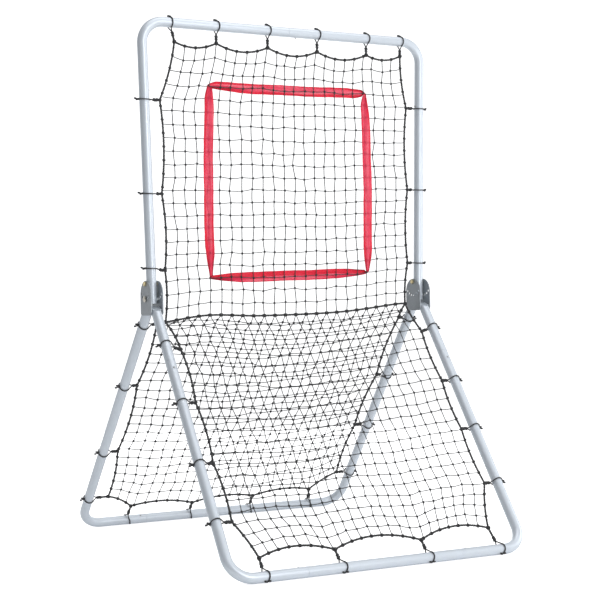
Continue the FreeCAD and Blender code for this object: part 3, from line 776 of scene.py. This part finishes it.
def strip(name, a, b, way, lift, material, plan):
    """Red tape from a to b, its edges folded behind and its ends gathered.

    way is the tape's width and lift how far it lies from the mesh.  Returns the
    strip and the lines of its two ends.
    """
    run = b - a
    length = np.linalg.norm(run)
    stations, across = 120, 49
    c = np.linspace(0, 1, across)
    out = unit(lift)
    rows, fold_shade_and_layers = [], []
    for i in range(stations):
        t = i / (stations - 1)
        low, high = (np.interp(t, (0, 0.5, 1), h) + 0.02 * math.sin(19 * t + 2 * k)
                     for k, h in enumerate(plan["hems"]))
        cloth = c * (1 + low + high) - low            # hems lie beyond 0 and 1, folded back
        x = np.where(cloth < 0, -cloth, np.where(cloth > 1, 2 - cloth, cloth))
        layer = (np.clip(-cloth * 22, 0, 1) + np.clip((cloth - 1) * 22, 0, 1)) * 0.0010
        edges = []
        for k in (0, 1):
            width = 1.0
            for gap, (least, reach) in ((t * length, plan["ends"][0][k]),
                                        ((1 - t) * length, plan["ends"][1][k])):
                if gap < reach:
                    width = min(width, least + (1 - least) * math.sin(gap / reach * math.pi / 2))
            edges.append(0.5 * width)
        shut = 1 - edges[0] - edges[1]
        fold = 2 * math.pi * plan["pleat"] * x + 0.8 + 1.5 * (t > 0.5)
        place = -edges[0] + x * (edges[0] + edges[1]) + shut * 0.13 * np.sin(fold)
        place = np.clip(place, -edges[0] - 0.01, edges[1] + 0.01)
        off = layer + shut * 0.0024 * (1 + np.cos(fold)) + 0.0004 * (1 + np.sin(31 * t + 4 * x))
        # painted shade: how deep in a fold each point lies, darkening its red, and denser cloth there
        fold_shade_and_layers.append(np.clip(2.4 * shut * (0.42 - 0.58 * np.cos(fold + 0.6)), 0, 1))
        ripple = 0.0006 * math.sin(17 * t) + 0.0002 * math.sin(57 * t + 1)
        centre = a + run * t + way * plan["bow"] * 4 * t * (1 - t)
        rows.append(centre + way * (place * STRIP_WIDTH + ripple)[:, None] + lift + out * off[:, None])
    shape = Shape()
    shape.add_rows(rows)
    return gathered(shape.make(name, material, 180), np.concatenate(fold_shade_and_layers)), rows[0], rows[-1]


def corner_turn(shape, first, second, outward):
    """Tape twisted through the mesh at a corner, joining one strip's end to the next."""
    steps = 10
    rows = []
    for i in range(steps):
        t = smooth(i / (steps - 1))
        swell = outward * 0.0035 * math.sin(math.pi * t)
        pinch = 1 - 0.35 * math.sin(math.pi * t)
        row = first + (second - first) * t
        centre = row.mean(axis=0)
        rows.append(centre + (row - centre) * pinch + swell)
    shape.add_rows(rows)


def strike_zone(grid):
    """The four strips, tied to four knots of the upper net, and the turns between them.

    The upright strips lie in front of the mesh and the level ones behind it.
    """
    (left, right), (low, high) = ZONE_COLUMNS, ZONE_ROWS
    corners = {"left": (grid[left, low], grid[left, high]),
               "right": (grid[right, low], grid[right, high]),
               "top": (grid[left, high], grid[right, high]),
               "bottom": (grid[left, low], grid[right, low])}
    made, ends = {}, {}
    for name, plan in STRIPS.items():
        a, b = corners[name]
        if name in ("left", "right"):
            way, inset, lift, material = ACROSS, UP * 0.006, UPPER.face * 0.0050, TAPE_UPRIGHT
        else:
            way, inset, lift, material = UP, ACROSS * 0.004, -UPPER.face * 0.0044, TAPE_LEVEL
        made[name], *ends[name] = strip("strike_tape_" + name, a + inset, b - inset, way, lift,
                                        material, plan)
    turns = Shape()
    for upright, i, level, k, flip, way in (("left", 1, "top", 0, True, (-1, 0, 1)),
                                            ("right", 1, "top", 1, False, (1, 0, 1)),
                                            ("left", 0, "bottom", 0, False, (-1, 0, -1)),
                                            ("right", 0, "bottom", 1, True, (1, 0, -1))):
        second = ends[level][k]
        corner_turn(turns, ends[upright][i], second[::-1] if flip else second, np.array(way, float))
    # The twisted turns take a fold value of 0.6 throughout: painted shade, with denser cloth.
    return made, gathered(turns.make("strike_tape_turns", TAPE_UPRIGHT, 180), 0.6)


# ------------------------------------------------------------ build
def bends():
    """Where the upper and rear nets pass from the waist rope's frame to their own."""
    hinge = np.array((0, HINGE_Y, 0))
    rear = NETS["rear"]["frame"]
    return {"upper": (hinge + UP * (WAIST_Z + 0.030), hinge + UP * (PIVOT_Z + 0.10)),
            "rear": (rear.at(0, 0.93), rear.at(0, 0.74))}


def build_nets():
    """Every net with its rope and ties; the ties ride on the net's frame, the front net's mesh and rope on
    the front legs, and the upper and rear meshes and ropes stay fixed where they are built; returns the
    grids and pieces.
    """
    grids, soft, spans = {}, {}, bends()
    for name, net in NETS.items():
        mesh, grids[name] = net_mesh(name + "_net_mesh", net)
        rope = border_rope(name + "_net_laid_rope", net)
        cords = ties(name + "_net_cord_ties", net)
        for piece, node, slot in ((mesh, "net", "net_twine"), (rope, "net_border_rope", "border_rope"),
                                  (cords, "net_ties", "elastic_cord")):
            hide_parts("%s_%s" % (name, node))
        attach(cords, net["body"])
        for piece in (mesh, rope):
            if name in spans:
                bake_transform(piece)
            else:
                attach(piece, "front_leg_frame")
        soft[name] = (mesh, rope)
    return grids, soft


def floor():
    """Pale paper that sweeps up behind, brighter where the camera looks."""
    shape = Shape()
    half, wall = 9.0, 8.0
    profile = [(-half, 0.0), (half * 0.55, 0.0)]
    for i in range(13):
        a = math.pi / 2 * i / 12
        profile.append((half * 0.55 + 1.6 * math.sin(a), 1.6 * (1 - math.cos(a))))
    profile.append((half * 0.55 + 1.6, wall))
    shape.add_rows([np.array([(x, y, z - 0.0005) for x in (-half, half)]) for y, z in profile])
    n = Nodes("studio_paper").set(Roughness=0.9, Emission_Color=rgb(1, 1, 1))
    seen = n.add("LightPath").outputs["Is Camera Ray"]
    n.link(Base_Color=n.mix(n.noise(4, 3.0), rgb(0.86, 0.865, 0.87), rgb(0.88, 0.88, 0.88)),
           Emission_Strength=n.spread(seen, 0.13, 0.60, 0.0, 1.0))
    shape.make("studio_floor", n.material, 180)


def air():
    """White where the camera looks, but dimmer to the left as light on the tubes."""
    world = bpy.data.worlds.new("studio_air")
    bpy.context.scene.world = world
    world.use_nodes = True
    tree = world.node_tree
    background = tree.nodes["Background"]

    def world_node(kind, **inputs):
        node = tree.nodes.new("ShaderNode" + kind)
        for key, value in inputs.items():
            feed(tree, node, key.replace("_", " "), value)
        return node

    way = world_node("SeparateXYZ", Vector=world_node("TexCoord").outputs["Generated"])
    side = world_node("MapRange", Value=way.outputs["X"], From_Min=-0.9, From_Max=0.9,
                      To_Min=0.24, To_Max=0.86).outputs["Result"]
    seen = world_node("LightPath").outputs["Is Camera Ray"]
    level = world_node("MapRange", Value=seen, To_Min=side, To_Max=1.12).outputs["Result"]
    tree.links.new(level, background.inputs["Strength"])
    background.inputs["Color"].default_value = rgb(0.97, 0.985, 1.0)


def lamps():
    """Broad soft lights: place, size and power of each, all turned to the net's middle."""
    for name, at, size, power in (("key", (0.7, -4.4, 2.0), (0.9, 3.2), 66),
                                  ("right", (3.6, -1.8, 1.6), (1.6, 2.6), 30),
                                  ("top", (0.2, -0.8, 4.4), (3.4, 2.6), 46),
                                  ("backdrop", (1.5, 3.6, 1.6), (2.4, 3.0), 30)):
        light = bpy.data.lights.new(name, "AREA")
        light.shape, light.size, light.size_y, light.energy = "RECTANGLE", *size, power
        lamp = bpy.data.objects.new(name, light)
        lamp.location = at
        lamp.visible_camera = False
        lamp.rotation_euler = (Vector((0, 0, 0.85)) - Vector(at)).to_track_quat("-Z", "Y").to_euler()
        bpy.context.scene.collection.objects.link(lamp)


def camera():
    """Standing left of centre and a little below half height, long lens, level."""
    cam = bpy.data.cameras.new("camera")
    cam.lens, cam.sensor_width = 84.5, 36.0
    obj = bpy.data.objects.new("camera", cam)
    yaw, pitch, roll = 0.4856, 0.0016, -0.0162
    look = Vector((math.sin(yaw) * math.cos(pitch), math.cos(yaw) * math.cos(pitch), math.sin(pitch)))
    right = Vector((math.cos(yaw), -math.sin(yaw), 0))
    up = right.cross(look)
    right, up = (right * math.cos(roll) + up * math.sin(roll),
                 up * math.cos(roll) - right * math.sin(roll))
    obj.matrix_world = Matrix((right, up, -look)).transposed().to_4x4()
    obj.location = (-2.1495, -4.1640, 0.7868)
    bpy.context.scene.collection.objects.link(obj)
    bpy.context.scene.camera = obj
    bpy.context.scene.view_settings.view_transform = "Standard"


floor()
air()
lamps()
camera()
dress_frame()
for part in ("front", "rear"):
    welds = stub_welds(part)
    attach(welds, part + "_leg_frame")
grids, soft = build_nets()
waist = waist_rope()
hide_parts("waist_rope")
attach(waist, "front_leg_frame")
tapes, turns = strike_zone(grids["upper"])
for name, piece in tapes.items():
    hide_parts("strike_strip_" + name)
    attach(piece, "target_frame")
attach(turns, "target_frame")
